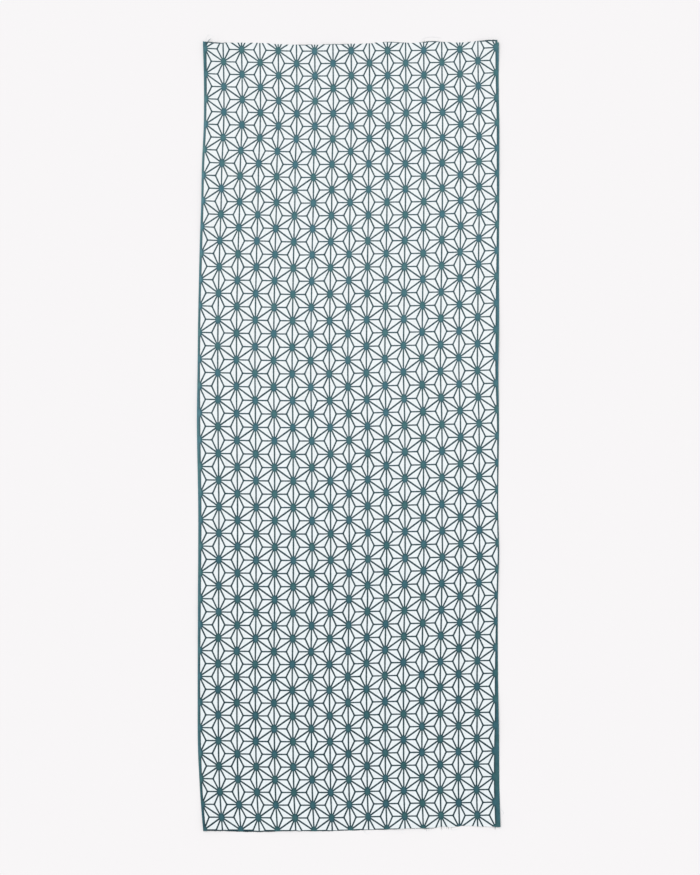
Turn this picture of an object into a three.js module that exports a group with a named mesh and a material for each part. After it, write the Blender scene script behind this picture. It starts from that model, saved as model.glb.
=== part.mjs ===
// A tenugui: a long, narrow hand towel of plain-woven cotton. It is one length cut from a narrow bolt,
// with a woven selvedge down each long side and a raw, unhemmed cut at each end, and it lies spread out flat.
// Millimetres. X runs across the cloth, Y runs along it, Z is up, and the surface it lies on is Z = 0.
// The origin is the middle of the cloth's outline, on that surface.
import * as THREE from "three";

// Driving dimensions.
const CUT_LENGTH = 900; // from one cut end to the other, along the warp
const BOLT_WIDTH = 344; // from selvedge to selvedge, across the warp
const CLOTH_THICKNESS = 1;
const CELLS_ACROSS = 24;
const CELLS_ALONG = 64;

// The two selvedges. Each row is a place along the cloth, counted from its middle, with how far the left and
// the right selvedge lie inside the straight sides of a CUT_LENGTH by BOLT_WIDTH oblong.
const SELVEDGES = [
  { along: -450, left: 5.9, right: -2.6 },
  { along: -423, left: 3.5, right: -1.5 },
  { along: -400, left: 1.9, right: -0.9 },
  { along: -354, left: -0.3, right: -0.3 },
  { along: -285, left: -0.6, right: 0.8 },
  { along: -217, left: -0.3, right: 1.2 },
  { along: -171, left: -0.2, right: 0.9 },
  { along: -136, left: 0.0, right: -0.1 },
  { along: -80, left: 0.0, right: 0.8 },
  { along: 11, left: -1.4, right: -0.2 },
  { along: 74, left: -0.7, right: 0.6 },
  { along: 126, left: -0.2, right: -0.2 },
  { along: 217, left: 1.8, right: -0.2 },
  { along: 264, left: 3.5, right: -0.5 },
  { along: 308, left: 4.3, right: -0.3 },
  { along: 354, left: 6.3, right: -0.5 },
  { along: 400, left: 6.6, right: 0.1 },
  { along: 450, left: 5.6, right: 0.1 },
];

// The two cut ends. Each row is a place across the cloth, counted from its middle, with how far the far and
// the near cut run past the straight ends of the same oblong.
const CUT_ENDS = [
  { across: -172, far: 2.8, near: 1.9 },
  { across: -146, far: 2.4, near: 1.8 },
  { across: -124, far: 1.1, near: 2.3 },
  { across: -100, far: 0.6, near: 2.7 },
  { across: -78, far: -0.8, near: 1.7 },
  { across: -42, far: -1.2, near: 1.4 },
  { across: -18, far: 0.1, near: 1.3 },
  { across: 14, far: 0.1, near: 0.4 },
  { across: 41, far: 2.0, near: 0.0 },
  { across: 72, far: 1.2, near: -1.1 },
  { across: 93, far: 2.8, near: -0.4 },
  { across: 103, far: 2.5, near: -2.3 },
  { across: 119, far: 1.5, near: -1.9 },
  { across: 134, far: 2.0, near: -3.8 },
  { across: 155, far: 4.6, near: -3.4 },
  { across: 172, far: 4.7, near: -2.7 },
];

// Soft rises where the cloth doesn't touch the surface: most at the selvedges, the corners and the cut ends,
// and three long shallow ones inside. Everywhere else the cloth lies flat.
const RISES = [
  { across: -172, along: 452, halfAcross: 52, halfAlong: 46, height: 2.2 },
  { across: 172, along: 452, halfAcross: 64, halfAlong: 38, height: 2.6 },
  { across: -172, along: -452, halfAcross: 46, halfAlong: 60, height: 2.0 },
  { across: 172, along: -452, halfAcross: 56, halfAlong: 40, height: 1.8 },
  { across: -172, along: 268, halfAcross: 46, halfAlong: 82, height: 1.8 },
  { across: -172, along: 40, halfAcross: 38, halfAlong: 74, height: 1.3 },
  { across: -172, along: -205, halfAcross: 42, halfAlong: 90, height: 1.5 },
  { across: 172, along: 318, halfAcross: 38, halfAlong: 68, height: 1.3 },
  { across: 172, along: 96, halfAcross: 44, halfAlong: 88, height: 1.6 },
  { across: 172, along: -150, halfAcross: 40, halfAlong: 80, height: 1.4 },
  { across: 172, along: -330, halfAcross: 42, halfAlong: 58, height: 1.5 },
  { across: -34, along: 452, halfAcross: 70, halfAlong: 34, height: 1.6 },
  { across: -70, along: -452, halfAcross: 62, halfAlong: 36, height: 1.3 },
  { across: 66, along: -452, halfAcross: 54, halfAlong: 34, height: 1.5 },
  { across: 20, along: 212, halfAcross: 120, halfAlong: 52, height: 0.9 },
  { across: -40, along: -118, halfAcross: 108, halfAlong: 60, height: 0.8 },
  { across: 50, along: -300, halfAcross: 96, halfAlong: 50, height: 0.8 },
];

// A smooth curve through one column of a table: a cubic in each span, whose slope at each row is that of the
// straight line between the rows beside it.
function through(rows, place, column, at) {
  const last = rows.length - 1;
  const slope = (i) => {
    const before = rows[Math.max(i - 1, 0)];
    const after = rows[Math.min(i + 1, last)];
    return (after[column] - before[column]) / (after[place] - before[place]);
  };
  let i = 0;
  while (i < last - 1 && at > rows[i + 1][place]) i++;
  const span = rows[i + 1][place] - rows[i][place];
  const share = (at - rows[i][place]) / span;
  const square = share * share;
  const cube = square * share;
  return (
    (2 * cube - 3 * square + 1) * rows[i][column] +
    (cube - 2 * square + share) * span * slope(i) +
    (3 * square - 2 * cube) * rows[i + 1][column] +
    (cube - square) * span * slope(i + 1)
  );
}

// How high the cloth's underside is over a place in the oblong: the sum of the rises, each of which falls off
// as a squared cosine to nothing at its half widths.
function riseAt(across, along) {
  const fall = (share) => (Math.abs(share) < 1 ? Math.cos((share * Math.PI) / 2) ** 2 : 0);
  return RISES.reduce((height, rise) => {
    const sideways = fall((across - rise.across) / rise.halfAcross);
    const lengthways = fall((along - rise.along) / rise.halfAlong);
    return height + rise.height * sideways * lengthways;
  }, 0);
}

// Where a place in the oblong lies on the real cloth: between the two selvedges and between the two cut ends.
function placeOnCloth(across, along) {
  const left = -BOLT_WIDTH / 2 + through(SELVEDGES, "along", "left", along);
  const right = BOLT_WIDTH / 2 - through(SELVEDGES, "along", "right", along);
  const far = CUT_LENGTH / 2 + through(CUT_ENDS, "across", "far", across);
  const near = -CUT_LENGTH / 2 - through(CUT_ENDS, "across", "near", across);
  return new THREE.Vector3(
    THREE.MathUtils.lerp(left, right, across / BOLT_WIDTH + 0.5),
    THREE.MathUtils.lerp(near, far, along / CUT_LENGTH + 0.5),
    riseAt(across, along),
  );
}

// The cloth as one closed sheet: a grid of cells for its underside, the same grid one thickness higher for its
// face, and a wall of cells round the rim that joins the two.
function clothSheet() {
  const columns = CELLS_ACROSS + 1;
  const rows = CELLS_ALONG + 1;
  const points = [];
  for (const lift of [0, CLOTH_THICKNESS]) {
    for (let row = 0; row < rows; row++) {
      for (let column = 0; column < columns; column++) {
        const across = (column / CELLS_ACROSS - 0.5) * BOLT_WIDTH;
        const along = (row / CELLS_ALONG - 0.5) * CUT_LENGTH;
        const place = placeOnCloth(across, along);
        points.push(place.x, place.y, place.z + lift);
      }
    }
  }

  const triangles = [];
  const cell = (a, b, c, d) => triangles.push(a, b, c, a, c, d);
  const underside = (row, column) => row * columns + column;
  const face = (row, column) => rows * columns + underside(row, column);
  for (let row = 0; row < CELLS_ALONG; row++) {
    for (let column = 0; column < CELLS_ACROSS; column++) {
      const corners = [
        [row, column],
        [row, column + 1],
        [row + 1, column + 1],
        [row + 1, column],
      ];
      cell(...corners.map((corner) => face(...corner)));
      cell(...corners.map((corner) => underside(...corner)).reverse());
    }
  }

  const rim = [];
  for (let column = 0; column < CELLS_ACROSS; column++) rim.push([0, column]);
  for (let row = 0; row < CELLS_ALONG; row++) rim.push([row, CELLS_ACROSS]);
  for (let column = CELLS_ACROSS; column > 0; column--) rim.push([CELLS_ALONG, column]);
  for (let row = CELLS_ALONG; row > 0; row--) rim.push([row, 0]);
  rim.forEach((from, i) => {
    const to = rim[(i + 1) % rim.length];
    cell(underside(...from), underside(...to), face(...to), face(...from));
  });

  const geometry = new THREE.BufferGeometry();
  geometry.setAttribute("position", new THREE.Float32BufferAttribute(points, 3));
  geometry.setIndex(triangles);
  geometry.computeBoundingBox();
  const middle = geometry.boundingBox.getCenter(new THREE.Vector3());
  geometry.translate(-middle.x, -middle.y, 0);
  geometry.computeVertexNormals();
  return geometry;
}

// Bleached cotton under teal dye lines, seen from a distance.
const dyedCotton = new THREE.MeshStandardMaterial({
  name: "dyed_cotton",
  color: new THREE.Color().setRGB(0.7, 0.76, 0.78, THREE.SRGBColorSpace),
  roughness: 0.92,
  metalness: 0,
  side: THREE.FrontSide,
});

const towel = new THREE.Group();
towel.name = "tenugui_towel";
const cloth = new THREE.Mesh(clothSheet(), dyedCotton);
cloth.name = "tenugui_cloth";
towel.add(cloth);

export default towel;
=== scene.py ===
"""The looks of a tenugui: a long, narrow hand towel of plain-woven cotton, dyed with the hemp leaf pattern.

It is one length of a narrow bolt. Both long sides are selvedges, both ends are raw cuts with frayed warp
ends, and it lies spread out flat. Metres. X runs across the cloth, Y along it, Z is up, and the floor is at
Z = 0.
"""
import math

import bpy
import numpy as np
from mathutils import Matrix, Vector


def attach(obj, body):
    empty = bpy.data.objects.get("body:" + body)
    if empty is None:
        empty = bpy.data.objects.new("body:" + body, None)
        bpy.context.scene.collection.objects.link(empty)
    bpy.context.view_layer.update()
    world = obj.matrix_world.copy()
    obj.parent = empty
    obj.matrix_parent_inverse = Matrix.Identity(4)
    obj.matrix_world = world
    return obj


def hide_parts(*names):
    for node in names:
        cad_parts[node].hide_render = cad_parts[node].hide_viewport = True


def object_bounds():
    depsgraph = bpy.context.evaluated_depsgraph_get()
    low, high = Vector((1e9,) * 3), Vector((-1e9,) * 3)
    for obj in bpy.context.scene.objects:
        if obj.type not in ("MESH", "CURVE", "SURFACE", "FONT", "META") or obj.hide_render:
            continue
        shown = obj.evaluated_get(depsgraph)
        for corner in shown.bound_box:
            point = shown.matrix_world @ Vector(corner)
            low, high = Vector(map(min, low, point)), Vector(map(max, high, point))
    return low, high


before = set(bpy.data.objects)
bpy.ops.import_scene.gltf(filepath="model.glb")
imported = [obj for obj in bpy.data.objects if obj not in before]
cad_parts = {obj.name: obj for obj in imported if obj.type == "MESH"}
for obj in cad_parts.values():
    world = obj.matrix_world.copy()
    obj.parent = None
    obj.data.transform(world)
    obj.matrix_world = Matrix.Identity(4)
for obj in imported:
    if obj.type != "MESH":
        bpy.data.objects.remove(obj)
cad_low, cad_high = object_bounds()


def columns(names, *rows):
    """A table's columns by name, each as an array."""
    return dict(zip(names.split(), np.array(rows).T))


# The cloth's driving sizes.
CUT_LENGTH = 0.900
BOLT_WIDTH = 0.344
COTTON_THICKNESS = 0.00042
SELVEDGE_THICKNESS = 0.00058
SELVEDGE_WIDTH = 0.0022
SELVEDGE_ENDS = (0.6, 1.4)  # the shares of its width between which its dense weave ends
THREAD_PITCH = 0.00047
THREAD_WIDTH = 0.00026
CELLS_ACROSS = 124
CELLS_ALONG = 316
BARE_CUT = 0.0006  # how far past a cutting line the cloth counts as where a cut has none
CROWDING = 0.75  # how much the cells crowd towards the rim, from 0 to 1

# How far each selvedge lies inside the straight sides of a BOLT_WIDTH by CUT_LENGTH oblong.
SELVEDGES = columns(
    "along left right",
    (-0.450, 0.0059, -0.0018),
    (-0.423, 0.0035, -0.0011),
    (-0.400, 0.0019, -0.0006),
    (-0.354, -0.0003, -0.0002),
    (-0.285, -0.0006, 0.0008),
    (-0.217, -0.0003, 0.0012),
    (-0.171, -0.0002, 0.0009),
    (-0.136, 0.0000, -0.0001),
    (-0.080, 0.0000, 0.0008),
    (0.011, -0.0014, -0.0002),
    (0.074, -0.0007, 0.0006),
    (0.126, -0.0002, -0.0002),
    (0.217, 0.0018, -0.0002),
    (0.264, 0.0035, -0.0005),
    (0.308, 0.0043, -0.0003),
    (0.354, 0.0063, -0.0005),
    (0.400, 0.0066, 0.0001),
    (0.450, 0.0056, 0.0001),
)

# How far each cut runs past the straight ends of that oblong.
CUT_ENDS = columns(
    "across far near",
    (-0.172, 0.0028, 0.0019),
    (-0.146, 0.0024, 0.0018),
    (-0.124, 0.0011, 0.0023),
    (-0.100, 0.0006, 0.0027),
    (-0.078, -0.0008, 0.0017),
    (-0.042, -0.0012, 0.0014),
    (-0.018, 0.0001, 0.0013),
    (0.014, 0.0001, 0.0004),
    (0.041, 0.0020, 0.0000),
    (0.072, 0.0012, -0.0011),
    (0.093, 0.0028, -0.0004),
    (0.103, 0.0025, -0.0023),
    (0.119, 0.0015, -0.0019),
    (0.134, 0.0020, -0.0038),
    (0.155, 0.0046, -0.0034),
    (0.172, 0.0047, -0.0027),
)

# What each cut lost as its last weft threads fell out.
LOST_WEFT = columns(
    "across far near",
    (-0.172, 0.0004, 0.0016),
    (-0.161, 0.0013, 0.0015),
    (-0.151, 0.0017, 0.0013),
    (-0.140, 0.0010, 0.0008),
    (-0.124, 0.0000, 0.0006),
    (-0.105, 0.0000, 0.0010),
    (-0.080, 0.0002, 0.0011),
    (-0.040, 0.0002, 0.0006),
    (-0.028, 0.0004, 0.0005),
    (-0.013, 0.0009, 0.0008),
    (0.002, 0.0004, 0.0006),
    (0.045, 0.0000, 0.0012),
    (0.058, 0.0002, 0.0015),
    (0.073, 0.0004, 0.0014),
    (0.085, 0.0002, 0.0018),
    (0.096, 0.0000, 0.0022),
    (0.108, 0.0001, 0.0020),
    (0.126, 0.0003, 0.0021),
    (0.147, 0.0010, 0.0010),
    (0.160, 0.0010, 0.0013),
    (0.172, 0.0003, 0.0014),
)

# The scissors left both cuts ragged by a fraction of a thread, in waves between these two lengths, and the
# selvedge is nicked at the far right corner.
RAGGED = 0.00018
RAGGED_LENGTHS = (0.016, 0.0017)
NICK_DEPTH = 0.0034
NICK_STARTS = 0.1700
NICK_FULL = 0.1706

# Where the cloth rises softly off the floor.
RISES = columns(
    "across along half_across half_along height",
    (-0.172, 0.452, 0.052, 0.046, 0.0022),
    (0.172, 0.452, 0.064, 0.038, 0.0026),
    (-0.172, -0.452, 0.046, 0.060, 0.0020),
    (0.172, -0.452, 0.056, 0.040, 0.0018),
    (-0.172, 0.268, 0.046, 0.082, 0.0018),
    (-0.172, 0.040, 0.038, 0.074, 0.0013),
    (-0.172, -0.205, 0.042, 0.090, 0.0015),
    (0.172, 0.318, 0.038, 0.068, 0.0013),
    (0.172, 0.096, 0.044, 0.088, 0.0016),
    (0.172, -0.150, 0.040, 0.080, 0.0014),
    (0.172, -0.330, 0.042, 0.058, 0.0015),
    (-0.034, 0.452, 0.070, 0.034, 0.0016),
    (-0.070, -0.452, 0.062, 0.036, 0.0013),
    (0.066, -0.452, 0.054, 0.034, 0.0015),
    (0.020, 0.212, 0.120, 0.052, 0.0009),
    (-0.040, -0.118, 0.108, 0.060, 0.0008),
    (0.050, -0.300, 0.096, 0.050, 0.0008),
)

# Small puckers along the selvedges: their mean height, the longest and the shortest of their waves, and how
# far inside the selvedge they have sunk to about a third.
PUCKER_HEIGHT = 0.00016
PUCKER_LENGTHS = (0.052, 0.011)
PUCKER_REACH = 0.010

# The pattern. Its stars stand on sixteen spaces between a first and a last column. Each margin is what is
# left of the cloth outside those two columns, and the columns between them bow a little to the right. Both
# margins are dyed solid, and band is how far the left one's dye reaches past the first column.
STAR_SPACES = 16
MARGINS = columns(
    "along left right bow band",
    (-0.450, 0.0010, 0.0052, 0.0006, 0.0020),
    (-0.400, 0.0013, 0.0054, 0.0013, 0.0016),
    (-0.360, 0.0021, 0.0050, 0.0014, 0.0014),
    (-0.320, 0.0023, 0.0036, 0.0008, 0.0009),
    (-0.275, 0.0020, 0.0029, 0.0004, 0.0008),
    (-0.190, 0.0024, 0.0010, 0.0005, 0.0010),
    (-0.145, 0.0023, 0.0008, 0.0002, 0.0012),
    (-0.060, 0.0025, 0.0006, 0.0002, 0.0013),
    (-0.015, 0.0027, 0.0012, 0.0005, 0.0013),
    (0.028, 0.0026, 0.0018, 0.0004, 0.0012),
    (0.070, 0.0018, 0.0027, 0.0004, 0.0011),
    (0.115, 0.0016, 0.0033, 0.0004, 0.0011),
    (0.160, 0.0013, 0.0030, 0.0006, 0.0013),
    (0.200, 0.0016, 0.0023, 0.0002, 0.0013),
    (0.250, 0.0017, 0.0018, -0.0001, 0.0010),
    (0.330, 0.0018, 0.0022, 0.0000, 0.0008),
    (0.375, 0.0020, 0.0023, 0.0002, 0.0009),
    (0.450, 0.0019, 0.0034, 0.0010, 0.0021),
)

# Half rows of stars are counted up from the middle. At the spacing they have there the whole cut would hold
# HALF_ROWS of them, and they lie closer towards both ends.
HALF_ROWS = 59.08
ROWS_CLOSER_AT_ENDS = 6.30
ROW_AT_MIDDLE = 0.234

# How the rows stray from that, up the cloth: as a whole, by their tilt from selvedge to selvedge, and by
# four times what they bow up at both selvedges.
ROW_STRAYS = columns(
    "along rise tilt bow",
    (-0.450, -0.0009, 0.0032, 0.0068),
    (-0.405, 0.0000, 0.0032, 0.0075),
    (-0.360, 0.0003, 0.0035, 0.0090),
    (-0.320, 0.0006, 0.0042, 0.0100),
    (-0.275, 0.0007, 0.0047, 0.0098),
    (-0.235, 0.0003, 0.0046, 0.0108),
    (-0.190, 0.0001, 0.0049, 0.0109),
    (-0.100, -0.0001, 0.0050, 0.0100),
    (-0.015, -0.0002, 0.0053, 0.0118),
    (0.070, 0.0002, 0.0038, 0.0111),
    (0.160, 0.0003, 0.0036, 0.0126),
    (0.200, 0.0003, 0.0033, 0.0131),
    (0.245, 0.0001, 0.0027, 0.0132),
    (0.290, -0.0002, 0.0023, 0.0132),
    (0.330, -0.0005, 0.0015, 0.0127),
    (0.450, -0.0006, 0.0009, 0.0134),
)

# How the rows wave up and down besides, over most of the cloth and over its far part. The one gives way to
# the other between two places along it.
FAR_PART_STARTS = 0.08
FAR_PART_FULL = 0.20
ROW_WAVES = columns(
    "across near far",
    (-0.172, 0.0004, 0.0001),
    (-0.145, 0.0003, -0.0001),
    (-0.104, -0.0001, 0.0003),
    (-0.061, -0.0003, -0.0004),
    (-0.019, -0.0004, 0.0001),
    (0.022, 0.0003, 0.0004),
    (0.065, 0.0005, 0.0000),
    (0.106, 0.0002, -0.0002),
    (0.148, -0.0004, 0.0000),
    (0.172, -0.0006, 0.0000),
)

# A thin line is dyed across the bolt where each cut is to go. The scissors ran along it, so it is left in
# places. Each row has an end of the cloth, a place across it, how far the line reaches to each side, and
# its width there.
CUTTING_LINES = columns(
    "end across reach width",
    (-1, -0.118, 0.070, 0.0013),
    (-1, -0.036, 0.024, 0.0009),
    (-1, 0.012, 0.030, 0.0005),
    (1, -0.162, 0.018, 0.0012),
    (1, -0.054, 0.009, 0.0006),
    (1, -0.018, 0.018, 0.0005),
    (1, 0.050, 0.014, 0.0006),
    (1, 0.092, 0.012, 0.0009),
    (1, 0.163, 0.018, 0.0015),
)

# The dye is drawn in millimetres, so many to a metre. One star space and one half row at the middle of the
# cloth have these sizes in them.
MM = 1000
SPACE_MM = 21.25
HALF_ROW_MM = 15.23


def through(table, place, column, at):
    """A smooth curve through a table's column: in each span a cubic whose slope at each row is that of the
    straight line between the rows beside it."""
    x = table[place]
    y = table[column]
    before = np.r_[0, np.arange(len(x) - 1)]
    after = np.r_[np.arange(1, len(x)), len(x) - 1]
    slope = (y[after] - y[before]) / (x[after] - x[before])
    i = np.clip(np.searchsorted(x, at) - 1, 0, len(x) - 2)
    span = x[i + 1] - x[i]
    share = (at - x[i]) / span
    start = (2 * share**3 - 3 * share**2 + 1) * y[i] + (share**3 - 2 * share**2 + share) * span * slope[i]
    return start + (3 * share**2 - 2 * share**3) * y[i + 1] + (share**3 - share**2) * span * slope[i + 1]


def smooth(low, high, x):
    """0 under low, 1 over high and a smooth step between them."""
    share = np.clip((x - low) / (high - low), 0, 1)
    return share * share * (3 - 2 * share)


def ripple(x, seed, longest, shortest, waves=9):
    """An uneven line from about -1 to 1: a sum of sines whose lengths run from longest to shortest."""
    rng = np.random.default_rng(seed)
    lengths = np.geomspace(longest, shortest, waves)
    weights = np.sqrt(lengths / longest)
    phases = rng.uniform(0, 2 * math.pi, waves)
    waves_at = np.sin(2 * math.pi * np.asarray(x)[..., None] / lengths + phases)
    return (waves_at * weights).sum(-1) / np.sqrt((weights**2).sum())


def selvedge(side, along):
    """The X of the left (-1) or right (1) selvedge at a place along the cloth: half the bolt's width, less
    how far the selvedge lies inside it."""
    inside = through(SELVEDGES, "along", "left" if side < 0 else "right", along)
    return side * (BOLT_WIDTH / 2 - inside)


def cut(end, across):
    """The Y of the near (-1) or far (1) cut at a place across the cloth: half the cut's length and how far
    it runs past that, less the lost weft. An uneven line makes it ragged, and a smooth step takes the nick
    off the far right corner."""
    side = "near" if end < 0 else "far"
    past = through(CUT_ENDS, "across", side, across) - through(LOST_WEFT, "across", side, across)
    ragged = RAGGED * ripple(across, 11 + end, *RAGGED_LENGTHS)
    nick = NICK_DEPTH * smooth(NICK_STARTS, NICK_FULL, across) if end > 0 else 0
    return end * (CUT_LENGTH / 2 + past + ragged - nick)


def outline_middle():
    """Where the middle of the frame's box lies in the oblong: how far the outline's furthest left place is
    from the box's left side, and its furthest far place from the box's far side."""
    along = np.linspace(-CUT_LENGTH / 2, CUT_LENGTH / 2, 65)
    across = np.linspace(-BOLT_WIDTH / 2, BOLT_WIDTH / 2, 25)
    x = selvedge(-1, along).min() - cad_low[0]
    y = CUT_LENGTH / 2 + through(CUT_ENDS, "across", "far", across).max() - cad_high[1]
    return x, y


MIDDLE_X, MIDDLE_Y = outline_middle()


def place_on_cloth(across, along):
    """X and Y of a place in the oblong: between the two selvedges and between the two cuts."""
    left = selvedge(-1, along)
    right = selvedge(1, along)
    near = cut(-1, across)
    far = cut(1, across)
    x = left + (right - left) * (across / BOLT_WIDTH + 0.5)
    y = near + (far - near) * (along / CUT_LENGTH + 0.5)
    return x - MIDDLE_X, y - MIDDLE_Y


def rise(across, along):
    """How high the underside is: the sum of the rises, each the product of two squared cosines that end at
    its half widths, and small puckers along the selvedges, an uneven line that dies out exponentially
    inwards."""
    height = np.zeros(np.broadcast(across, along).shape)
    for x, y, half_x, half_y, top in zip(*RISES.values()):
        sideways = np.cos(np.clip((across - x) / half_x, -1, 1) * math.pi / 2) ** 2
        lengthways = np.cos(np.clip((along - y) / half_y, -1, 1) * math.pi / 2) ** 2
        height = height + top * sideways * lengthways
    for side, seed in ((-1, 21), (1, 22)):
        inside = BOLT_WIDTH / 2 - side * across
        pucker = PUCKER_HEIGHT * (1 + ripple(along, seed, *PUCKER_LENGTHS))
        height = height + np.clip(pucker, 0, None) * np.exp(-inside / PUCKER_REACH)
    return height


def thickness(across):
    """The cloth's thickness: the cotton's, with a smooth step up to that of the selvedges' dense weave."""
    inside = BOLT_WIDTH / 2 - np.abs(across)
    more = SELVEDGE_THICKNESS - COTTON_THICKNESS
    low, high = [SELVEDGE_WIDTH * share for share in SELVEDGE_ENDS]
    return COTTON_THICKNESS + more * (1 - smooth(low, high, inside))


def star_place(x, y):
    """The column and half row of the pattern at a place: whole numbers, both odd or both even, at the
    middle of each star.

    The column is the share of the way from the first column to the last one, less a parabola for the bow,
    times the number of spaces. The half row is a cubic of the place along the cloth, less how the rows
    stray there.
    """
    x = x + MIDDLE_X
    y = y + MIDDLE_Y
    along = np.clip(y, -CUT_LENGTH / 2, CUT_LENGTH / 2)
    first = selvedge(-1, along) + through(MARGINS, "along", "left", along)
    last = selvedge(1, along) - through(MARGINS, "along", "right", along)
    share = (x - first) / (last - first)
    bow = through(MARGINS, "along", "bow", along) / (last - first)
    column = STAR_SPACES * (share - 4 * bow * share * (1 - share))
    sideways = share - 0.5
    stray = through(ROW_STRAYS, "along", "rise", along)
    stray = stray + through(ROW_STRAYS, "along", "tilt", along) * sideways
    stray = stray + through(ROW_STRAYS, "along", "bow", along) * sideways**2
    across = np.clip(x, -BOLT_WIDTH / 2, BOLT_WIDTH / 2)
    far_share = smooth(FAR_PART_STARTS, FAR_PART_FULL, along)
    stray = stray + through(ROW_WAVES, "across", "near", across) * (1 - far_share)
    stray = stray + through(ROW_WAVES, "across", "far", across) * far_share
    lengthways = (y - stray) / CUT_LENGTH
    row = ROW_AT_MIDDLE + HALF_ROWS * lengthways + ROWS_CLOSER_AT_ENDS * lengthways**3
    return column, row


def past_left_band(x, y):
    """How far a place lies past the inner edge of the left selvedge's band of dye, less than 0 on it."""
    along = np.clip(y + MIDDLE_Y, -CUT_LENGTH / 2, CUT_LENGTH / 2)
    first = selvedge(-1, along) + through(MARGINS, "along", "left", along)
    return x + MIDDLE_X - first - through(MARGINS, "along", "band", along)


def past_cutting_line(across, along):
    """How far a place lies past what is left of the nearer cutting line, less than 0 on it. Where none is
    left, every place counts as at least BARE_CUT past it. Each stretch of line keeps its width over most of
    its reach and ends bluntly, as one less the fourth power of the share of it."""
    past = np.full(np.broadcast(across, along).shape, np.inf)
    for end, at, reach, width in zip(*CUTTING_LINES.values()):
        left = (width + BARE_CUT) * np.clip(1 - ((across - at) / reach) ** 4, 0, 1) - BARE_CUT
        past = np.minimum(past, np.abs(CUT_LENGTH / 2 - end * along) - left)
    return past


def graded(size, cells):
    """Places from -size/2 to size/2 that crowd towards both ends: u - crowding * sin(2 pi u) / 2 pi."""
    u = np.linspace(0, 1, cells + 1)
    return (u - CROWDING * np.sin(2 * math.pi * u) / (2 * math.pi) - 0.5) * size


def mesh_piece(name, points, faces, maps, numbers=None, sharp=None):
    """An object from an array of points and a list of arrays of faces. Each map has a (u, v) pair for each
    point, or for each corner of each face, and each of the numbers has a value for each point. Edges that
    turn by more than sharp, in degrees, are shaded as edges."""
    mesh = bpy.data.meshes.new(name)
    corners = np.concatenate([f.ravel() for f in faces])
    sizes = np.concatenate([np.full(len(f), f.shape[1]) for f in faces])
    mesh.vertices.add(len(points))
    mesh.vertices.foreach_set("co", points.astype(np.float32).ravel())
    mesh.loops.add(len(corners))
    mesh.loops.foreach_set("vertex_index", corners.astype(np.int32))
    mesh.polygons.add(len(sizes))
    mesh.polygons.foreach_set("loop_start", np.r_[0, np.cumsum(sizes)[:-1]].astype(np.int32))
    mesh.update(calc_edges=True)
    for map_name, places in maps.items():
        layer = mesh.uv_layers.new(name=map_name)
        if len(places) == len(points):
            places = places[corners]
        layer.uv.foreach_set("vector", places.astype(np.float32).ravel())
    for number_name, values in (numbers or {}).items():
        layer = mesh.attributes.new(number_name, "FLOAT", "POINT")
        layer.data.foreach_set("value", values.astype(np.float32).ravel())
    mesh.validate()
    mesh.shade_smooth()
    if sharp:
        mesh.set_sharp_from_angle(angle=math.radians(sharp))
    piece = bpy.data.objects.new(name, mesh)
    bpy.context.scene.collection.objects.link(piece)
    return piece


RIM_ON_MAP = 0.0008  # how far the rim's walls are folded in, so that they have some width on the picture
RIM_FROM = 0.49  # how far out from the middle, as a share of the size, a wall belongs to that side
MAP_EDGE = 0.004  # the width left empty round each half of the picture


def map_for_baking(points, faces):
    """A place on a picture for each corner of each face: the near half of the cloth fills its left half and
    the far half its right one, as seen from above, each stretched from edge to edge."""
    corners = np.concatenate([f.ravel() for f in faces])
    x, y, _ = points[corners].T
    far_half = np.concatenate([np.repeat(points[f, 1].mean(1) > 0, f.shape[1]) for f in faces])
    wall = np.repeat([0, 1, 0], [f.size for f in faces]) * (corners >= len(points) // 2)
    x = x - wall * RIM_ON_MAP * np.sign(x) * (np.abs(x) > BOLT_WIDTH * RIM_FROM)
    y = y - wall * RIM_ON_MAP * np.sign(y) * (np.abs(y) > CUT_LENGTH * RIM_FROM)
    across = (x - x.min()) / (x.max() - x.min())
    up = np.where(far_half, y / y.max(), 1 - y / y.min())
    u = 0.5 * far_half + MAP_EDGE + across * (0.5 - 2 * MAP_EDGE)
    v = MAP_EDGE + up * (1 - 2 * MAP_EDGE)
    return np.stack([u, v], -1)


def cloth_sheet():
    """The cloth: a grid for the underside, the same grid one thickness higher for the face, and a wall of
    cells round the rim."""
    across, along = np.meshgrid(graded(BOLT_WIDTH, CELLS_ACROSS), graded(CUT_LENGTH, CELLS_ALONG))
    x, y = place_on_cloth(across, along)
    under = rise(across, along)
    layers = [np.stack([x, y, z], -1) for z in (under, under + thickness(across))]
    points = np.concatenate(layers).reshape(-1, 3)

    number = np.arange(across.size).reshape(across.shape)
    cells = [number[:-1, :-1], number[:-1, 1:], number[1:, 1:], number[1:, :-1]]
    underside = np.stack(cells[::-1], -1).reshape(-1, 4)
    face = np.stack(cells, -1).reshape(-1, 4) + across.size
    rim = np.concatenate([number[0, :-1], number[:-1, -1], number[-1, :0:-1], number[:0:-1, 0]])
    ahead = np.roll(rim, -1)
    wall = np.stack([rim, ahead, ahead + across.size, rim + across.size], -1)
    faces = [underside, wall, face]

    def both_layers(first, second):
        """A pair of numbers for each point of the underside, and the same again for the face."""
        return np.tile(np.stack([first, second], -1).reshape(-1, 2), (2, 1))

    return mesh_piece(
        "tenugui_cotton",
        points,
        faces,
        {
            "star": both_layers(*star_place(x, y)),
            "weave": both_layers(across, along),
            "OFBake": map_for_baking(points, faces),
        },
        {
            "past_cutting_line": np.tile(past_cutting_line(across, along).ravel(), 2),
            "past_left_band": np.tile(past_left_band(x, y).ravel(), 2),
        },
        sharp=50,
    )


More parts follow.
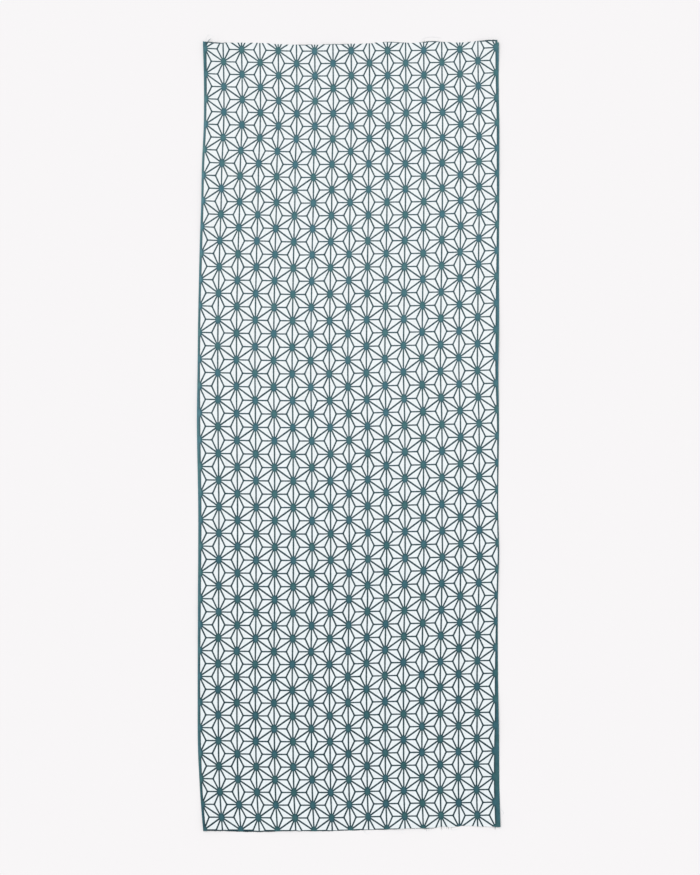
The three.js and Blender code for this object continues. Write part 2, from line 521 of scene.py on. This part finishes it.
def tubes(paths, radii, sides=3):
    """Threads: at each step of each path a ring of corners round the path's own direction, with walls from
    ring to ring and a face over each end. Gives the points and the faces, the walls and then the ends."""
    count, steps = paths.shape[:2]
    ahead = np.gradient(paths, axis=1)
    ahead = ahead / np.linalg.norm(ahead, axis=-1, keepdims=True)
    beside = np.cross(ahead, (0, 0, 1))
    beside = beside / np.linalg.norm(beside, axis=-1, keepdims=True)
    over = np.cross(beside, ahead)
    turn = 2 * math.pi * np.arange(sides) / sides
    ring = beside[:, :, None] * np.cos(turn)[:, None] + over[:, :, None] * np.sin(turn)[:, None]
    points = (paths[:, :, None] + radii[:, :, None, None] * ring).reshape(-1, 3)

    number = np.arange(count * steps * sides).reshape(count, steps, sides)
    beyond = np.roll(number, -1, axis=2)
    walls = [number[:, :-1], number[:, 1:], beyond[:, 1:], beyond[:, :-1]]
    return points, [np.stack(walls, -1).reshape(-1, 4), number[:, 0], number[:, -1, ::-1]]


# The frayed warp ends. How far each stands out is the least length and a random one from a gamma curve.
END_ROOT = 0.0012  # how far inside the cloth each starts
END_LEAST = 0.00005
END_LENGTHS = (1.3, 0.00015)  # the shape and the scale of the gamma curve
END_STRAY = 0.12  # how far each strays from its place, in threads
END_LEAN = 0.22  # how far its tip leans sideways, as a share of its length
END_LEANS_AS = 0.0008  # the length that the shorter ones lean as
END_LIFT = (-0.5, 0.45)  # the furthest its tip bends down and up, as shares of its length
END_TAPER = 0.62  # the share of its thickness lost at its tip

# Where the fray is longer: an end of the cloth, a place across it, how far it reaches to each side, and how
# much longer the threads are there.
WISPS = columns(
    "end across reach longer",
    (-1, 0.059, 0.010, 0.0011),
    (-1, 0.088, 0.006, 0.0013),
    (-1, 0.107, 0.010, 0.0021),
    (-1, 0.140, 0.012, 0.0006),
    (-1, 0.167, 0.005, 0.0011),
    (1, -0.166, 0.005, 0.0006),
    (1, 0.090, 0.016, 0.0005),
)
WISPY = 0.45  # the share of the threads there that are longer
WISP_LENGTHS = (2.0, 0.6)  # the shape and the scale of how much longer, as shares of that


def frayed_ends():
    """The warp ends that stand out of both cuts: one thread each THREAD_PITCH, rooted inside the cloth,
    mostly a few tenths of a millimetre long. Each bends sideways as the power 1.6 of the share of its
    length, up or down as its square, and thins out as its power 1.3. Gives their paths, their radii, and
    where each step lies in the oblong."""
    rng = np.random.default_rng(5)
    step = np.linspace(0, 1, 5)
    paths = []
    radii = []
    oblong = []
    for end in (-1, 1):
        across = np.arange(-BOLT_WIDTH / 2 + THREAD_PITCH, BOLT_WIDTH / 2 - THREAD_PITCH, THREAD_PITCH)
        across = across + rng.normal(0, END_STRAY * THREAD_PITCH, len(across))
        out = END_LEAST + rng.gamma(*END_LENGTHS, len(across))
        for at_end, at, reach, longer in zip(*WISPS.values()):
            near_it = np.exp(-(((across - at) / reach) ** 2)) * (at_end == end)
            longer = longer * (rng.random(len(across)) < WISPY) * rng.gamma(*WISP_LENGTHS, len(across))
            out = out + longer * near_it
        x, y = place_on_cloth(across, np.full(len(across), end * CUT_LENGTH / 2))
        z = rise(across, end * CUT_LENGTH / 2) + COTTON_THICKNESS / 2
        lean = rng.normal(0, END_LEAN, len(across))[:, None] * np.maximum(out, END_LEANS_AS)[:, None]
        lift = rng.uniform(*END_LIFT, len(across))[:, None] * out[:, None]
        run = -END_ROOT + (out[:, None] + END_ROOT) * step
        past = np.clip(run, 0, None) / out[:, None]
        sideways = lean * past**1.6
        height = np.maximum(z[:, None] + lift * past**2, THREAD_WIDTH / 2)
        paths.append(np.stack([x[:, None] + sideways, y[:, None] + end * run, height], -1))
        radii.append(THREAD_WIDTH / 2 * (1 - END_TAPER * past**1.3))
        oblong.append(np.stack([across[:, None] + sideways, end * (CUT_LENGTH / 2 + run)], -1))
    return np.concatenate(paths), np.concatenate(radii), np.concatenate(oblong)


# Threads that came loose, five at the cuts and one at the right selvedge: whether each is dyed, and how
# many times a thread's width it is.
LOOSE_THREADS = columns(
    "dyed thick",
    (1, 2.2),
    (0, 0.8),
    (0, 0.8),
    (0, 1.0),
    (0, 1.0),
    (0, 1.0),
)

# The places that each of them passes, one thread after the other.
LOOSE_PLACES = columns(
    "thread x y z",
    (0, -0.1628, 0.4490, 0.0028),
    (0, -0.1612, 0.4512, 0.0031),
    (0, -0.1594, 0.4531, 0.0032),
    (0, -0.1574, 0.4544, 0.0028),
    (1, -0.1642, 0.4535, 0.0006),
    (1, -0.1622, 0.4580, 0.0004),
    (1, -0.1580, 0.4592, 0.0003),
    (1, -0.1545, 0.4570, 0.0005),
    (2, 0.0824, 0.4510, 0.0008),
    (2, 0.0862, 0.4555, 0.0005),
    (2, 0.0950, 0.4568, 0.0003),
    (2, 0.1045, 0.4556, 0.0004),
    (3, 0.0172, -0.4512, 0.0008),
    (3, 0.0185, -0.4540, 0.0003),
    (3, 0.0210, -0.4552, 0.0002),
    (3, 0.0236, -0.4536, 0.0003),
    (4, 0.1150, -0.4480, 0.0008),
    (4, 0.1180, -0.4506, 0.0003),
    (4, 0.1235, -0.4500, 0.0002),
    (4, 0.1262, -0.4484, 0.0004),
    (5, 0.1738, -0.4275, 0.0006),
    (5, 0.1761, -0.4290, 0.0003),
    (5, 0.1769, -0.4312, 0.0002),
    (5, 0.1757, -0.4330, 0.0003),
)


def loose_threads():
    """Each loose thread as a smooth curve through its places. Towards both ends it loses half its thickness,
    as the cube of how far a place is from its middle."""
    step = np.linspace(0, 1, 15)
    paths = []
    radii = []
    for thread, thick in enumerate(LOOSE_THREADS["thick"]):
        passed = LOOSE_PLACES["thread"] == thread
        table = {axis: LOOSE_PLACES[axis][passed] for axis in "xyz"}
        table["at"] = np.arange(passed.sum()).astype(float)
        at = step * table["at"][-1]
        paths.append(np.stack([through(table, "at", axis, at) for axis in "xyz"], -1))
        radii.append(THREAD_WIDTH / 2 * thick * (1 - 0.5 * np.abs(2 * step - 1) ** 3))
    return np.stack(paths), np.stack(radii)


# The column and half row of the middle of a star, and of a place between the lines.
DYED_PLACE = (0.0, 0.0)
BARE_PLACE = (0.62, 0.30)


def fray():
    """The frayed warp ends and the loose threads as one piece. A warp end takes the pattern's dye as the
    cloth beside it does, and a loose thread is dyed or bare all along."""
    ends, end_radii, oblong = frayed_ends()
    loose, loose_radii = loose_threads()
    end_points, end_faces = tubes(ends, end_radii)
    corners = len(end_points) // oblong[..., 0].size
    loose_points, loose_faces = tubes(loose, loose_radii)
    x, y, _ = end_points.T
    dyed = np.where(LOOSE_THREADS["dyed"][:, None], DYED_PLACE, BARE_PLACE)
    loose_star = np.repeat(dyed, len(loose_points) // len(dyed), axis=0)
    loose_past = np.full(len(loose_points), BARE_CUT)
    points = np.concatenate([end_points, loose_points])
    star = np.concatenate([np.stack(star_place(x, y), -1), loose_star])
    end_past = np.repeat(past_cutting_line(oblong[..., 0], oblong[..., 1]).ravel(), corners)
    past = np.concatenate([end_past, loose_past])
    band = np.concatenate([past_left_band(x, y), np.full(len(loose_points), BOLT_WIDTH)])
    faces = [*end_faces, *[f + len(end_points) for f in loose_faces]]
    return mesh_piece(
        "frayed_warp_ends",
        points,
        faces,
        {"star": star, "weave": points[:, :2]},
        {"past_cutting_line": past, "past_left_band": band},
    )


class Term:
    """A number that varies over the surface. Sums of terms add Math nodes to the material."""

    def __init__(self, finish, socket):
        self.finish = finish
        self.socket = socket

    def __add__(self, other):
        return self.finish.math("ADD", self, other)

    def __sub__(self, other):
        return self.finish.math("SUBTRACT", self, other)

    def __rsub__(self, other):
        return self.finish.math("SUBTRACT", other, self)

    def __mul__(self, other):
        return self.finish.math("MULTIPLY", self, other)

    def __abs__(self):
        return self.finish.math("ABSOLUTE", self)

    __radd__ = __add__
    __rmul__ = __mul__


class Finish:
    """One material and its nodes. Each method adds nodes and gives back what comes out of them."""

    def __init__(self, name):
        self.material = bpy.data.materials.new(name)
        self.material.use_nodes = True
        self.tree = self.material.node_tree
        self.tree.nodes.clear()

    def node(self, kind, inputs=None, **settings):
        """A node with these settings, each of its inputs set to a value or joined to a term."""
        made = self.tree.nodes.new(kind)
        for name, value in settings.items():
            setattr(made, name, value)
        for name, value in (inputs or {}).items():
            if isinstance(value, Term):
                self.tree.links.new(value.socket, made.inputs[name])
            else:
                made.inputs[name].default_value = value
        return made

    def math(self, operation, *values):
        """What one operation makes of numbers and terms."""
        made = self.node("ShaderNodeMath", dict(enumerate(values)), operation=operation)
        return Term(self, made.outputs[0])

    def surface(self, inputs):
        """Finish with one surface shader, and give back the material."""
        shader = self.node("ShaderNodeBsdfPrincipled", inputs)
        self.node("ShaderNodeOutputMaterial", {"Surface": Term(self, shader.outputs[0])})
        return self.material

    def number(self, name):
        """A number that the piece's points carry."""
        made = self.node("ShaderNodeAttribute", attribute_name=name)
        return Term(self, made.outputs["Fac"])

    def both(self, map_name):
        """The two numbers of a UV map."""
        place = self.node("ShaderNodeUVMap", uv_map=map_name)
        parts = self.node("ShaderNodeSeparateXYZ", {0: Term(self, place.outputs[0])})
        return Term(self, parts.outputs[0]), Term(self, parts.outputs[1])

    def noise(self, across, along, cells, detail=2.0, roughness=0.5):
        """Soft noise from about -1 to 1 at a place, with so many cells for each metre across and along."""
        place = self.node("ShaderNodeCombineXYZ", {0: across * cells[0], 1: along * cells[1]})
        inputs = {
            "Vector": Term(self, place.outputs[0]),
            "Scale": 1.0,
            "Detail": detail,
            "Roughness": roughness,
        }
        made = self.node("ShaderNodeTexNoise", inputs, noise_dimensions="2D")
        return Term(self, made.outputs[0]) * 2.0 - 1.0

    def step(self, value, low, high):
        """0 where the value is under low, 1 over high, and a smooth step between them."""
        made = self.node(
            "ShaderNodeMapRange",
            {0: value, 1: low, 2: high, 3: 0.0, 4: 1.0},
            interpolation_type="SMOOTHSTEP",
        )
        return Term(self, made.outputs[0])

    def blend(self, share, first, second):
        """The first colour where share is 0 and the second where it is 1."""
        made = self.node("ShaderNodeMix", {0: share, 6: first, 7: second}, data_type="RGBA")
        return Term(self, made.outputs[2])

    def times(self, first, second):
        """Two colours multiplied, as when one filters the other."""
        made = self.node("ShaderNodeVectorMath", {0: first, 1: second}, operation="MULTIPLY")
        return Term(self, made.outputs[0])


def display(red, green, blue):
    """A colour as a screen shows it, 0 to 255, as the light it stands for."""
    share = np.array([red, green, blue]) / 255
    light = np.where(share <= 0.04045, share / 12.92, ((share + 0.055) / 1.055) ** 2.4)
    return (*light.tolist(), 1.0)


# The studio's light, as how bright it makes a white surface that lies flat.
SKY_LIGHT = 0.50
LAMP_LIGHT = 0.62


def surface_colour(red, green, blue):
    """The colour a surface needs to be shown as (red, green, blue) in the studio's light."""
    light = np.array(display(red, green, blue)[:3]) / (SKY_LIGHT + LAMP_LIGHT)
    return (*light.tolist(), 1.0)


# Bleached cotton, the same cotton under the full teal dye of the stars' hearts and the selvedges, and under
# the slate tone that the dye has on the thin lines: each at the far and at the near end of the cloth. The
# far end's tones are lighter and the near end's darker as painted light and shade, for light that is
# brighter, with a faint sheen, towards the far end. The near end's tones give way to the far end's between
# two places along it.
COTTON_FAR_PAINTED_LIGHT = surface_colour(246, 251, 253)
COTTON_NEAR_PAINTED_SHADE = surface_colour(241, 248, 251)
DYED_FAR_PAINTED_LIGHT = surface_colour(75, 120, 129)
DYED_NEAR_PAINTED_SHADE = surface_colour(57, 100, 108)
LINES_FAR_PAINTED_LIGHT = surface_colour(57, 82, 89)
LINES_NEAR_PAINTED_SHADE = surface_colour(41, 63, 70)
NEAR_PAINTED_SHADE_END = -0.42
FAR_PAINTED_LIGHT_START = 0.24

# The dye's tinge wanders from one of these to the other over a few centimetres, and is wholly the one or
# the other where its noise passes TINGE_FULL.
GREENER = (1.03, 1.01, 0.94, 1.0)
BLUER = (0.97, 0.99, 1.06, 1.0)
TINGE_FULL = 0.4


def let_through(dyed, cotton):
    """The share of each colour that the dye lets through, from the dyed and the bare cotton."""
    return (*(np.array(dyed[:3]) / np.array(cotton[:3])).tolist(), 1.0)


# Half the width of each line of the pattern at the far end, in millimetres, how much more it is at the near
# end, how softly the lines run together, and half the width of a star's heart with how much taller than
# wide it is.
UPRIGHT_HALF = 0.75
SLOPE_HALF = 0.83
STEEP_HALF = 0.78
LEVEL_HALF = 0.71
WIDER_NEAR = 0.08
FILLET = 1.20
HEART_HALF = 3.0
HEART_TALLER = 1.4

# The cloth's unevenness, as cells of soft noise for each metre across it and along it. The thicker and
# thinner threads, the slubs, are those of the warp and those of the weft, and each has its share in them.
WARP_SLUBS = (900, 16)
WEFT_SLUBS = (14, 800)
WARP_SHARE = 0.6
WEFT_SHARE = 0.5
MOTTLING = (150, 150)
TINGE = (55, 55)
EDGE_WANDER = (420, 420)
EDGE_SWELL = (60, 60)

# How far the edge of the dye strays with each of the last two and over the threads it stops at, half the
# width of its softness, and how far the dye has bled past it, all in millimetres. And how strong the bled
# dye is.
WANDERS_BY = 0.20
SWELLS_BY = 0.10
STEPS_BY = 0.12
SOFT_HALF = 0.13
BLED_REACH = 0.9
BLED_DYE = 0.02

# The slate tone of the lines turns to full teal between these two distances outside a star's heart, in
# millimetres, and DEEPER_IN_BANDS further in on a selvedge's band.
TEAL_STARTS = 1.8
TEAL_FULL = -1.6
DEEPER_IN_BANDS = 1.5

# How much the dye's strength and the bare cotton's light vary with each of these, and the weave's mean
# height, from which its share is counted. Mottle and slubs are the cloth's own uneven tone. The weave's
# share is painted shade and light: darker in the dips between the threads, lighter on their tops.
DYE_AND_PAINTED_SHADE_VARY = {"mottle": 0.16, "slubs": 0.10, "weave": 0.16}
LIGHT_VARIES = {"mottle": 0.03, "slubs": 0.105, "weave": 0.07}
WEAVE_MEAN = 0.6

# How much paler the dye is on the left selvedge's band, half the width in which that ends at the band's
# edge, and between which distances from the cloth's middle it ends towards both cuts.
PALER_BAND = 0.16
PALER_EDGE_HALF = 0.0004
PALER_UNTIL = 0.37
PALER_ENDS = 0.42

# The relief of the threads: what the weave and the slubs have in it, its strength and its depth.
RELIEF_OF = {"weave": 0.7, "slubs": 0.5}
RELIEF_STRENGTH = 0.7
RELIEF_DEPTH = 0.00014


def hemp_leaf(finish, column, row):
    """How far a place lies outside the nearest line of the hemp leaf, and outside the heart of the nearest
    star, in millimetres, less than 0 inside them.

    Stars stand where column and row are both even or both odd. Folding back at each whole number leaves one
    cell, and turning its far half round onto its near half leaves one star at (0, 0). From it run an
    upright line, a level spoke two thirds of a space long, a slope to the next star, and a steep line a
    third of a space across for each half row. From the spoke's tip another steep line leads to the next
    column. The heart is an ellipse.
    """
    across = finish.math("PINGPONG", column, 1.0)
    up = finish.math("PINGPONG", row, 1.0)
    far_half = finish.math("GREATER_THAN", across + up, 1.0)
    u = across + far_half * (1.0 - 2.0 * across)
    v = up + far_half * (1.0 - 2.0 * up)

    slope_unit = SPACE_MM * HALF_ROW_MM / math.hypot(SPACE_MM, HALF_ROW_MM)
    steep_unit = SPACE_MM * HALF_ROW_MM / math.hypot(SPACE_MM / 3, HALF_ROW_MM)
    upright = finish.math("PINGPONG", column, 0.5) * SPACE_MM - UPRIGHT_HALF
    slope = abs(across - up) * slope_unit - SLOPE_HALF
    steep = abs(u - v * (1 / 3)) * steep_unit - STEEP_HALF
    tip_steep = abs(u - v * (1 / 3) - 2 / 3) * steep_unit - STEEP_HALF
    past_tip = finish.math("MAXIMUM", u - 2 / 3, 0.0) * SPACE_MM
    high = v * HALF_ROW_MM
    level = finish.math("SQRT", past_tip * past_tip + high * high) - LEVEL_HALF

    nearest = upright
    for line in (slope, steep, tip_steep, level):
        nearest = finish.math("SMOOTH_MIN", nearest, line, FILLET)

    wide = u * SPACE_MM
    tall = high * (1 / HEART_TALLER)
    heart = finish.math("SQRT", wide * wide + tall * tall) - HEART_HALF
    return nearest, heart


def selvedge_bands(finish, column):
    """How far a place lies outside the two bands of solid dye along the selvedges, in millimetres, less
    than 0 on them."""
    left = finish.number("past_left_band") * MM
    right = (STAR_SPACES - column) * SPACE_MM - UPRIGHT_HALF
    return finish.math("MINIMUM", left, right)


WEAVE_DIP = 0.45  # how much lower a thread lies where it dives under the next, as a share of its height


def plain_weave(finish, across, along):
    """The height of a plain weave, 0 to 1, at a place in threads: warp and weft lie uppermost by turns,
    like the squares of a chessboard, and each square is a short arch, a sine that is full across its thread
    and flatter along it."""
    squares = finish.math("FLOOR", across) + finish.math("FLOOR", along)
    warp_over = finish.math("PINGPONG", squares, 1.0)
    round_across = finish.math("SINE", finish.math("FRACT", across) * math.pi)
    round_along = finish.math("SINE", finish.math("FRACT", along) * math.pi)
    warp = round_across * (1 - WEAVE_DIP + WEAVE_DIP * round_along)
    weft = round_along * (1 - WEAVE_DIP + WEAVE_DIP * round_across)
    return weft + warp_over * (warp - weft)


def dye_edge(finish, across, along, weave, far_share):
    """How far a place lies outside the dye, in millimetres: the least of its distances from the pattern,
    the selvedge bands and the cutting lines, with an edge that wanders a little and is stepped by the
    threads that it stops at. And how far it lies outside the broad parts of the dye, the stars' hearts and
    the bands."""
    column, row = finish.both("star")
    lines, heart = hemp_leaf(finish, column, row)
    bands = selvedge_bands(finish, column)
    broad = finish.math("MINIMUM", heart, bands + DEEPER_IN_BANDS)
    outside = finish.math("MINIMUM", lines, bands)
    outside = finish.math("MINIMUM", outside, finish.number("past_cutting_line") * MM)
    wander = finish.noise(across, along, EDGE_WANDER, detail=3.0, roughness=0.6)
    swell = finish.noise(across, along, EDGE_SWELL)
    outside = outside + wander * WANDERS_BY + swell * SWELLS_BY - (1.0 - far_share) * WIDER_NEAR
    if weave is not None:
        outside = outside + weave * STEPS_BY - STEPS_BY / 2
    return outside, broad


def dyed_cotton(name, woven):
    """Plain-woven cotton with the hemp leaf dyed through it.

    The dye is a filter over the cotton's own colour, to the power of how much of it there is. It is
    mottled, paler along most of the left selvedge, and it has bled faintly into the cotton beside it.
    Thicker and thinner threads run through both warp and weft. Cotton and dye are drawn a little darker
    towards the near end and lighter towards the far one as painted shade and light, and darker in the dips
    between the threads as painted shade.
    """
    finish = Finish(name)
    across, along = finish.both("weave")
    weave = None
    if woven:
        weave = plain_weave(finish, across * (1 / THREAD_PITCH), along * (1 / THREAD_PITCH))
    warp_slubs = finish.noise(across, along, WARP_SLUBS)
    weft_slubs = finish.noise(across, along, WEFT_SLUBS)
    slubs = warp_slubs * WARP_SHARE + weft_slubs * WEFT_SHARE

    # Painted light and shade: the cotton and the dye are drawn lighter towards the far end and darker
    # towards the near end. The same share widens the lines towards the near end.
    far_share = finish.step(along, NEAR_PAINTED_SHADE_END, FAR_PAINTED_LIGHT_START)
    outside, broad = dye_edge(finish, across, along, weave, far_share)
    dyed = 1.0 - finish.step(outside, -SOFT_HALF, SOFT_HALF)
    bled = 1.0 - finish.step(outside, 0.0, BLED_REACH)
    mottle = finish.noise(across, along, MOTTLING, detail=4.0, roughness=0.6)
    uneven = mottle * DYE_AND_PAINTED_SHADE_VARY["mottle"] + slubs * DYE_AND_PAINTED_SHADE_VARY["slubs"]
    if woven:
        # Painted shade: the dye is drawn deeper in the dips between the threads and paler on their tops.
        uneven = uneven + (WEAVE_MEAN - weave) * DYE_AND_PAINTED_SHADE_VARY["weave"]
    density = dyed * (1.0 + uneven) + bled * (1.0 - dyed) * BLED_DYE
    on_left_band = 1.0 - finish.step(finish.number("past_left_band"), -PALER_EDGE_HALF, PALER_EDGE_HALF)
    short_of_ends = 1.0 - finish.step(abs(along), PALER_UNTIL, PALER_ENDS)
    density = density * (1.0 - on_left_band * short_of_ends * PALER_BAND)

    # Painted light and shade: each colour is blended from its darker near tone to its lighter far tone.
    cotton = finish.blend(far_share, COTTON_NEAR_PAINTED_SHADE, COTTON_FAR_PAINTED_LIGHT)
    dye_near_painted_shade = let_through(DYED_NEAR_PAINTED_SHADE, COTTON_NEAR_PAINTED_SHADE)
    dye_far_painted_light = let_through(DYED_FAR_PAINTED_LIGHT, COTTON_FAR_PAINTED_LIGHT)
    full_dye = finish.blend(far_share, dye_near_painted_shade, dye_far_painted_light)
    line_near_painted_shade = let_through(LINES_NEAR_PAINTED_SHADE, COTTON_NEAR_PAINTED_SHADE)
    line_far_painted_light = let_through(LINES_FAR_PAINTED_LIGHT, COTTON_FAR_PAINTED_LIGHT)
    line_dye = finish.blend(far_share, line_near_painted_shade, line_far_painted_light)
    deep = 1.0 - finish.step(broad, TEAL_FULL, TEAL_STARTS)
    bluer = finish.step(finish.noise(across, along, TINGE), -TINGE_FULL, TINGE_FULL)
    full_dye = finish.times(full_dye, finish.blend(bluer, GREENER, BLUER))
    dye = finish.node("ShaderNodeGamma", {0: finish.blend(deep, line_dye, full_dye), 1: density})
    shade = 1.0 + slubs * LIGHT_VARIES["slubs"] + mottle * LIGHT_VARIES["mottle"]
    if woven:
        # Painted shade and light: the cotton is drawn darker in the dips between the threads and lighter on
        # their tops.
        shade = shade + (weave - WEAVE_MEAN) * LIGHT_VARIES["weave"]
    shaded = finish.node("ShaderNodeVectorMath", {0: cotton, 3: shade}, operation="SCALE")
    colour = finish.times(Term(finish, shaded.outputs[0]), Term(finish, dye.outputs[0]))
    relief = weave * RELIEF_OF["weave"] + slubs * RELIEF_OF["slubs"] if woven else slubs
    depth = {"Height": relief, "Strength": RELIEF_STRENGTH, "Distance": RELIEF_DEPTH}
    bump = finish.node("ShaderNodeBump", depth)
    return finish.surface(
        {
            "Base Color": colour,
            "Roughness": 0.92,
            "Specular IOR Level": 0.18,
            "Sheen Weight": 0.10,
            "Sheen Roughness": 0.5,
            "Normal": Term(finish, bump.outputs[0]),
        }
    )


FLOOR_HALF = 40.0
FLOOR_BELOW = 0.00005


def floor_sheet():
    """A plain pale floor: one square, a hair below the cloth."""
    corners = FLOOR_HALF * np.array([(-1, -1), (1, -1), (1, 1), (-1, 1)])
    points = np.c_[corners, np.full(4, -FLOOR_BELOW)]
    floor = mesh_piece("floor", points, [np.arange(4)[None]], {})
    colour = surface_colour(248, 246, 247)
    pale = Finish("pale_floor").surface({"Base Color": colour, "Roughness": 0.9, "Specular IOR Level": 0.1})
    floor.data.materials.append(pale)


LAMP_LEAN = math.radians(20)
LAMP_LEANS_FAR = 0.8 * LAMP_LEAN
LAMP_LEANS_LEFT = 0.6 * LAMP_LEAN
LAMP_SPREAD = math.radians(50)


def studio():
    """Soft light from all round, and one broad lamp high at the far left, brighter by one over the cosine
    of its lean so that a level surface gets LAMP_LIGHT."""
    scene = bpy.context.scene
    world = bpy.data.worlds.new("studio")
    world.use_nodes = True
    background = world.node_tree.nodes["Background"]
    background.inputs["Color"].default_value = (1.0, 1.0, 1.0, 1.0)
    background.inputs["Strength"].default_value = SKY_LIGHT
    scene.world = world
    lamp = bpy.data.lights.new("lamp", "SUN")
    lamp.energy = LAMP_LIGHT * math.pi / math.cos(LAMP_LEAN)
    lamp.angle = LAMP_SPREAD
    holder = bpy.data.objects.new("lamp", lamp)
    holder.rotation_euler = (-LAMP_LEANS_FAR, -LAMP_LEANS_LEFT, 0)
    scene.collection.objects.link(holder)
    scene.view_settings.view_transform = "Standard"
    scene.view_settings.look = "None"


# The camera looks straight down on the middle of the picture, which is 875 pixels tall, and the cloth's
# middle is a little beside that, both counted in pixels from the picture's far left corner. PIXEL is one in
# metres.
PIXEL = 0.0011444
PICTURE_HEIGHT = 875
PICTURE_MIDDLE = (349.5, 437.0)
CLOTH_MIDDLE = (348.52, 435.61)
CAMERA_HEIGHT = 2.4
SENSOR = 36.0


def camera():
    """A camera straight above: its lens is to its sensor as its height is to the picture's real height."""
    scene = bpy.context.scene
    lens = bpy.data.cameras.new("camera")
    lens.sensor_width = SENSOR
    lens.lens = SENSOR * CAMERA_HEIGHT / (PICTURE_HEIGHT * PIXEL)
    holder = bpy.data.objects.new("camera", lens)
    x = (PICTURE_MIDDLE[0] - CLOTH_MIDDLE[0]) * PIXEL
    y = (CLOTH_MIDDLE[1] - PICTURE_MIDDLE[1]) * PIXEL
    holder.location = (x, y, CAMERA_HEIGHT)
    scene.collection.objects.link(holder)
    scene.camera = holder


cotton = cloth_sheet()
cotton.data.materials.append(dyed_cotton("dyed_cotton", woven=True))
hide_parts("tenugui_cloth")
frayed = fray()
frayed.data.materials.append(dyed_cotton("dyed_threads", woven=False))
for piece in (cotton, frayed):
    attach(piece, "root")
floor_sheet()
studio()
camera()
